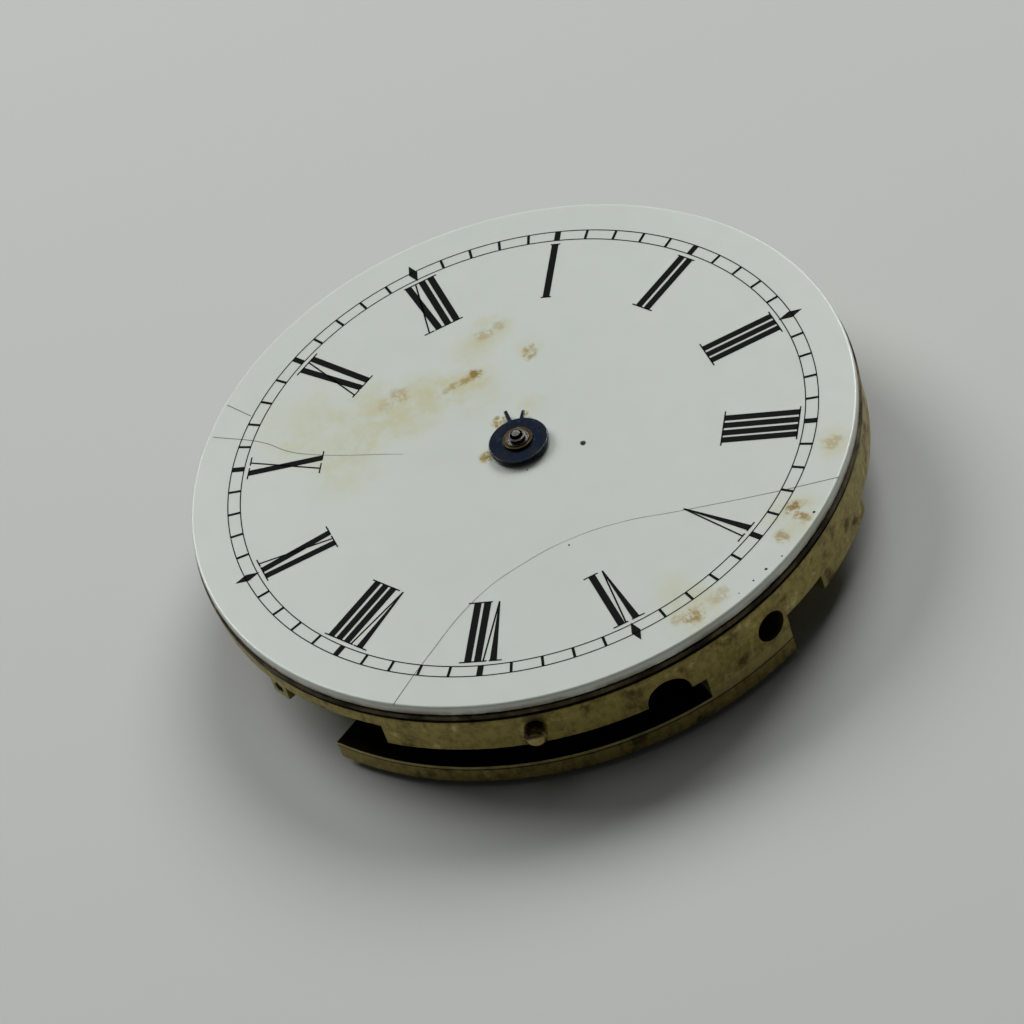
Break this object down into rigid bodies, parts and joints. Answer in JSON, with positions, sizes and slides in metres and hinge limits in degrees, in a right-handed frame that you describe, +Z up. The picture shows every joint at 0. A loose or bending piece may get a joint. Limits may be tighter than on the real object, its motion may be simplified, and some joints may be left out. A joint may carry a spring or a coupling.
{
  "type": "pocket watch movement",
  "caption": "Round stem-wound pocket watch movement with a white enamel dial, a gilt plate and bar bridges, a geared wheel train, a lever escapement and a balance.",
  "frame": {"origin": "on the table plane the movement rests on, below the dial centre", "axes": "+Z up out of the dial along the hands' axis, +Y towards twelve o'clock, +X towards three o'clock"},
  "size_m": [0.041, 0.041, 0.0082],
  "materials": {
    "enamel": "glossy fired enamel, slightly greyed, with hairline cracks",
    "copper": "dark bare copper",
    "gilt": "dull tarnished gilt brass",
    "brass": "turned brass, a little tarnished",
    "steel": "turned and polished steel",
    "blued_steel": "heat-blued steel, worn",
    "ruby": "polished red jewel"
  },
  "bodies": {
    "frame": {"dial_enamel": "enamel", "dial_copper_base": "copper", "dial_foot_screws": "steel", "pillar_plate": "gilt", "case_locating_pin": "brass", "barrel_bridge": "gilt", "third_bar": "gilt", "fourth_bar": "gilt", "escape_cock": "gilt", "pallet_cock": "gilt", "balance_cock": "gilt", "keyless_cover": "gilt", "bridge_screws": "steel", "cover_screws": "steel", "pallet_cock_screw": "steel", "balance_cock_screw": "steel", "plate_jewels": "ruby", "bridge_jewels": "ruby", "endstone": "ruby", "endstone_cap": "steel", "cap_screws": "steel", "click_screw": "steel", "click_spring": "steel", "crown_wheel_core": "steel", "crown_wheel_screw": "steel", "banking_pins": "brass", "hairspring": "blued_steel", "hairspring_stud": "steel"},
    "barrel": {"barrel_drum": "gilt", "barrel_cover": "gilt", "mainspring": "steel"},
    "winding_arbor": {"barrel_arbor": "steel", "ratchet_wheel": "steel", "ratchet_screw": "steel"},
    "click": {"click": "steel"},
    "crown": {"crown_wheel": "steel"},
    "winding_pinion": {"winding_pinion": "steel"},
    "clutch": {"clutch_pinion": "steel"},
    "yoke": {"clutch_lever": "steel"},
    "centre": {"centre_wheel": "brass", "centre_arbor": "steel", "cannon_pinion": "steel"},
    "minute": {"minute_wheel": "brass"},
    "hour": {"hour_wheel": "brass", "hour_hand_boss": "blued_steel"},
    "setting": {"setting_wheel": "steel"},
    "third": {"third_wheel": "brass", "third_pinion": "steel"},
    "fourth": {"fourth_wheel": "brass", "fourth_pinion": "steel"},
    "escape": {"escape_wheel": "steel", "escape_pinion": "steel"},
    "pallet": {"pallet_fork": "steel", "pallet_arbor": "steel", "pallet_stones": "ruby"},
    "balance": {"balance_wheel": "brass", "balance_screws": "brass", "balance_staff": "steel", "roller": "steel"},
    "regulator": {"regulator": "steel"}
  },
  "joints": [
    {"name": "third_spin", "type": "hinge", "parent": "frame", "child": "third", "pos_m": [-0.00259, 0.00555, 0], "axis": [0, 0, 1], "continuous": true},
    {"name": "centre_spin", "type": "hinge", "parent": "frame", "child": "centre", "pos_m": [0, 0, 0], "axis": [0, 0, 1], "continuous": true},
    {"name": "barrel_spin", "type": "hinge", "parent": "frame", "child": "barrel", "pos_m": [-0.00453, -0.00725, 0], "axis": [0, 0, 1], "continuous": true},
    {"name": "fourth_spin", "type": "hinge", "parent": "frame", "child": "fourth", "pos_m": [-0.00347, 0.01057, 0], "axis": [0, 0, 1], "continuous": true},
    {"name": "escape_spin", "type": "hinge", "parent": "frame", "child": "escape", "pos_m": [0.00123, 0.01228, 0], "axis": [0, 0, 1], "continuous": true},
    {"name": "minute_spin", "type": "hinge", "parent": "frame", "child": "minute", "pos_m": [0.00143, -0.00373, 0], "axis": [0, 0, 1], "continuous": true},
    {"name": "hour_spin", "type": "hinge", "parent": "frame", "child": "hour", "pos_m": [0, 0, 0], "axis": [0, 0, 1], "continuous": true},
    {"name": "setting_spin", "type": "hinge", "parent": "frame", "child": "setting", "pos_m": [0.00323, -0.0084, 0], "axis": [0, 0, 1], "continuous": true},
    {"name": "ratchet_spin", "type": "hinge", "parent": "frame", "child": "winding_arbor", "pos_m": [-0.00453, -0.00725, 0], "axis": [0, 0, 1], "continuous": true},
    {"name": "crown_spin", "type": "hinge", "parent": "frame", "child": "crown", "pos_m": [0.00408, -0.01063, 0], "axis": [0, 0, 1], "continuous": true},
    {"name": "winding_pinion_spin", "type": "hinge", "parent": "frame", "child": "winding_pinion", "pos_m": [0.00573, -0.01494, 0.00368], "axis": [0.3584, -0.9336, 0], "continuous": true},
    {"name": "click_lift", "type": "hinge", "parent": "frame", "child": "click", "pos_m": [-0.00366, -0.01556, 0], "axis": [0, 0, 1], "range_deg": [0, 6]},
    {"name": "pallet_rock", "type": "hinge", "parent": "frame", "child": "pallet", "pos_m": [0.00428, 0.0112, 0], "axis": [0, 0, 1], "range_deg": [-5, 5]},
    {"name": "balance_swing", "type": "hinge", "parent": "frame", "child": "balance", "pos_m": [0.00824, 0.0098, 0], "axis": [0, 0, 1], "range_deg": [-270, 270], "stiffness_Nm_per_rad": 0.000003},
    {"name": "regulator_turn", "type": "hinge", "parent": "frame", "child": "regulator", "pos_m": [0.00824, 0.0098, 0], "axis": [0, 0, 1], "range_deg": [-25, 25]},
    {"name": "yoke_turn", "type": "hinge", "parent": "frame", "child": "yoke", "pos_m": [0.00996, -0.01068, 0], "axis": [0, 0, -1], "range_deg": [0, 9]},
    {"name": "clutch_slide", "type": "slide", "parent": "frame", "child": "clutch", "axis": [-0.3584, 0.9336, 0], "range_m": [0, 0.0007]}
  ],
  "couplings": [
    {"joint": "centre_spin", "follows": "third_spin", "ratio": -0.125},
    {"joint": "barrel_spin", "follows": "third_spin", "ratio": 0.015625},
    {"joint": "fourth_spin", "follows": "third_spin", "ratio": -7.5},
    {"joint": "escape_spin", "follows": "third_spin", "ratio": 75},
    {"joint": "minute_spin", "follows": "third_spin", "ratio": 0.041667},
    {"joint": "hour_spin", "follows": "third_spin", "ratio": -0.010417},
    {"joint": "setting_spin", "follows": "third_spin", "ratio": -0.0625},
    {"joint": "crown_spin", "follows": "ratchet_spin", "ratio": -1.6429},
    {"joint": "winding_pinion_spin", "follows": "ratchet_spin", "ratio": -3.0667},
    {"joint": "yoke_turn", "follows": "clutch_slide", "rad_per_m": 224.4}
  ]
}
